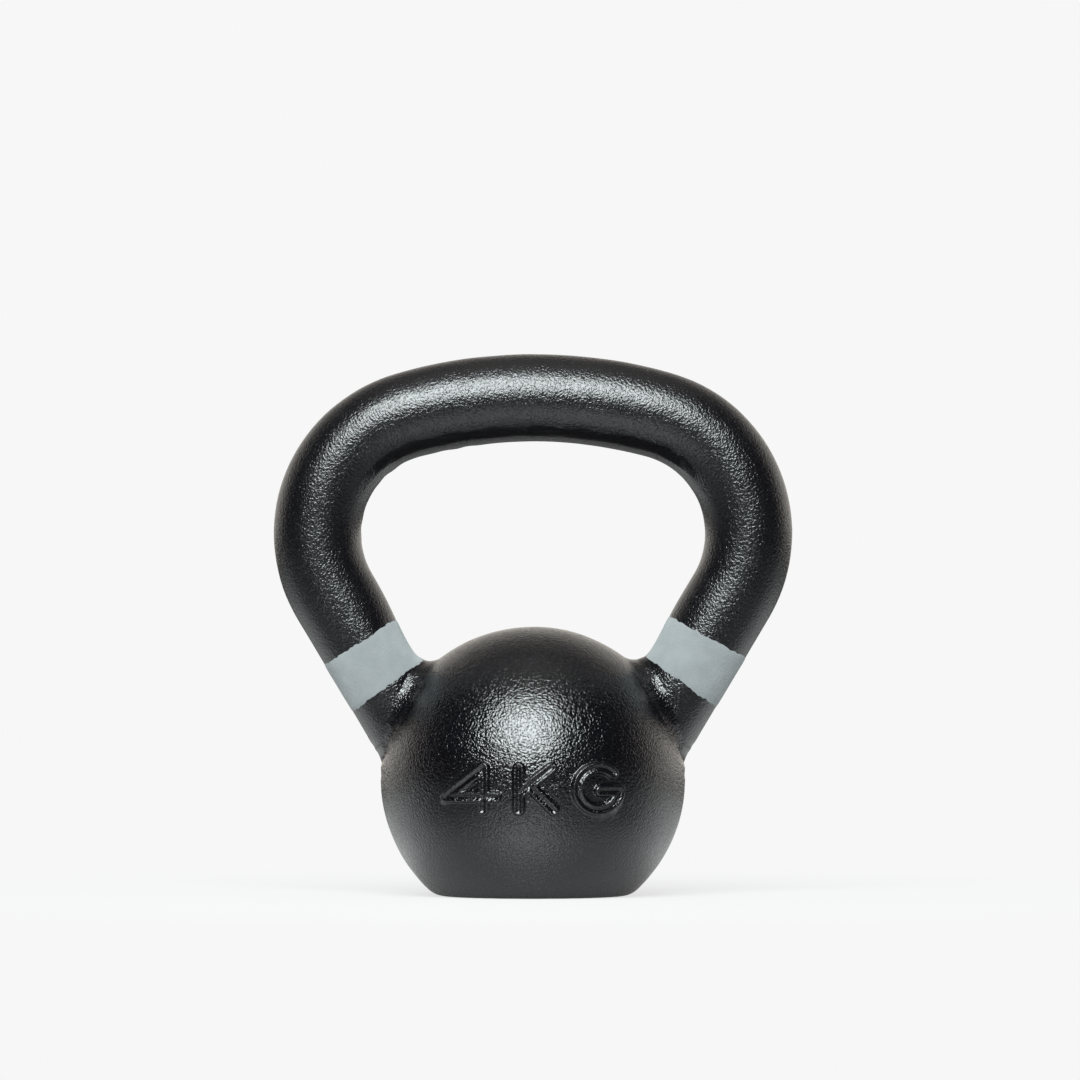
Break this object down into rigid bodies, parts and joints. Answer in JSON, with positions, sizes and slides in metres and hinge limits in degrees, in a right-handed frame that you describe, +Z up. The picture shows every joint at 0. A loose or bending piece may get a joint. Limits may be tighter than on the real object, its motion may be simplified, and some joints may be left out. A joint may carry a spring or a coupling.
{
  "type": "kettlebell",
  "caption": "Ball-shaped cast-iron hand weight with a flat base and an arched loop handle, black textured coat and a grey colour band on each horn.",
  "frame": {"origin": "middle of the flat base, on the surface that the kettlebell stands on", "axes": "+Z up through the ball and the crown of the grip, +X along the grip, -Y the front that the picture shows"},
  "size_m": [0.1568, 0.092, 0.1638],
  "materials": {
    "powder_coat": "black textured powder coat over cast iron, semi-gloss with a fine pebble grain",
    "band_paint": "light grey paint, satin, over the textured coat"
  },
  "bodies": {
    "root": {"casting": "powder_coat", "left_colour_band": "band_paint", "right_colour_band": "band_paint"}
  },
  "joints": []
}
